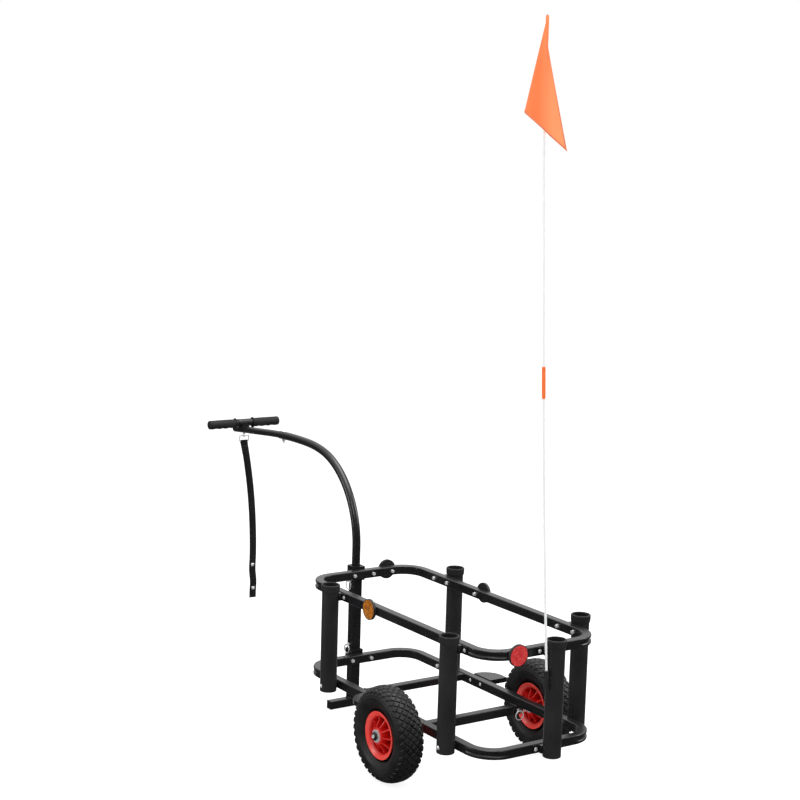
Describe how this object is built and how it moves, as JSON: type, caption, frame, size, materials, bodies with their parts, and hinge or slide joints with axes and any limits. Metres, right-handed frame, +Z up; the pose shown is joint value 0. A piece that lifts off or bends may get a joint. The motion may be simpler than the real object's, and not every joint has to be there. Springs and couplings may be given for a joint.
{
  "type": "beach cart",
  "caption": "Beach cart with an open tubular cargo frame, side rod holders, a curved pull handle with a tee grip, a parking foot, reflectors and a tall safety flag.",
  "frame": {"origin": "on the ground, below the middle of the overall length, on the line midway between the wheels", "axes": "+Z up, +X towards the rear, the pull handle at -X, +Y towards the right wheel, parallel to the axle"},
  "size_m": [1.7538, 0.6068, 1.9932],
  "materials": {
    "frame_paint": "semi-gloss black powder coat",
    "holder_plastic": "satin black plastic tube",
    "collar_rubber": "matt black rubber",
    "grip_rubber": "matt ribbed black rubber",
    "tyre_rubber": "black tyre rubber with a block tread",
    "rim_plastic": "bright red moulded plastic",
    "zinc_steel": "bright zinc plating",
    "black_plastic": "matt black moulded plastic",
    "amber_lens": "amber prismatic reflector lens",
    "red_lens": "red prismatic reflector lens",
    "clear_lens": "clear prismatic reflector lens",
    "webbing": "black woven polypropylene webbing",
    "pole_white": "white glass-fibre rod",
    "flag_fabric": "fluorescent orange polyester"
  },
  "bodies": {
    "frame": {"upper_ring": "frame_paint", "lower_ring": "frame_paint", "front_crossbar": "frame_paint", "axle_beam": "frame_paint", "rod_holder_front_left": "holder_plastic", "rod_holder_front_right": "holder_plastic", "rod_holder_rear_left": "holder_plastic", "rod_holder_rear_right": "holder_plastic", "rod_holder_rear_end": "holder_plastic", "holder_collars": "collar_rubber", "holder_saddles": "frame_paint", "saddle_bolts": "zinc_steel", "saddle_nuts": "zinc_steel", "holder_through_bolts": "zinc_steel", "mast_bracket_upper": "frame_paint", "mast_bracket_lower": "frame_paint", "bracket_bolts": "zinc_steel", "side_plate_left": "frame_paint", "side_plate_right": "frame_paint", "side_plate_bolts": "zinc_steel", "reflector_housings": "black_plastic", "reflector_bolts": "zinc_steel", "lens_left": "amber_lens", "lens_right": "amber_lens", "lens_rear": "red_lens", "lens_front": "clear_lens", "stub_axle_left": "zinc_steel", "stub_axle_right": "zinc_steel", "axle_washers": "zinc_steel", "axle_nuts": "frame_paint", "flag_socket": "black_plastic"},
    "wheel_left": {"tyre_left": "tyre_rubber", "inner_tube_left": "tyre_rubber", "rim_left": "rim_plastic", "bearings_left": "zinc_steel"},
    "wheel_right": {"tyre_right": "tyre_rubber", "inner_tube_right": "tyre_rubber", "rim_right": "rim_plastic", "bearings_right": "zinc_steel"},
    "mast": {"mast_tube": "frame_paint", "mast_collar": "black_plastic", "handle_pole": "frame_paint", "handle_extension": "frame_paint", "extension_cap": "black_plastic", "handle_bolts": "zinc_steel", "tee_bar": "frame_paint", "tee_clamp": "frame_paint", "grips": "grip_rubber", "strap_eye": "zinc_steel", "foot_bar": "frame_paint"},
    "mast_pin_upper": {"mast_pin_upper": "zinc_steel"},
    "mast_pin_lower": {"mast_pin_lower": "zinc_steel"},
    "axle_pin_left": {"axle_pin_left": "zinc_steel"},
    "axle_pin_right": {"axle_pin_right": "zinc_steel"},
    "strap": {"strap_ring": "zinc_steel", "strap_webbing": "webbing"},
    "flag_lower": {"flag_pole_lower": "pole_white"},
    "flag_upper": {"flag_pole_upper": "pole_white", "flag_cloth": "flag_fabric"}
  },
  "joints": [
    {"name": "wheel_left_spin", "type": "hinge", "parent": "frame", "child": "wheel_left", "pos_m": [0.4717, -0.255, 0.13], "axis": [0, 1, 0], "continuous": true},
    {"name": "wheel_right_spin", "type": "hinge", "parent": "frame", "child": "wheel_right", "pos_m": [0.4717, 0.255, 0.13], "axis": [0, 1, 0], "continuous": true},
    {"name": "mast_drop", "type": "slide", "parent": "frame", "child": "mast", "axis": [0, 0, 1], "range_m": [-0.0105, 0]},
    {"name": "mast_pin_upper_pull", "type": "slide", "parent": "mast", "child": "mast_pin_upper", "axis": [0, -1, 0], "range_m": [0, 0.04]},
    {"name": "mast_pin_lower_pull", "type": "slide", "parent": "mast", "child": "mast_pin_lower", "axis": [0, -1, 0], "range_m": [0, 0.04]},
    {"name": "axle_pin_left_pull", "type": "slide", "parent": "frame", "child": "axle_pin_left", "axis": [1, 0, 0], "range_m": [0, 0.04]},
    {"name": "axle_pin_right_pull", "type": "slide", "parent": "frame", "child": "axle_pin_right", "axis": [1, 0, 0], "range_m": [0, 0.04]},
    {"name": "strap_swing", "type": "hinge", "parent": "mast", "child": "strap", "pos_m": [-0.81641, 0, 0.71806], "axis": [0, 1, 0], "range_deg": [-60, 60]},
    {"name": "flag_pole_lift", "type": "slide", "parent": "frame", "child": "flag_lower", "axis": [0, -0.0506, 0.9987], "range_m": [0, 0.08]},
    {"name": "flag_top_lift", "type": "slide", "parent": "flag_lower", "child": "flag_upper", "axis": [0, -0.0506, 0.9987], "range_m": [0, 0.06]}
  ]
}
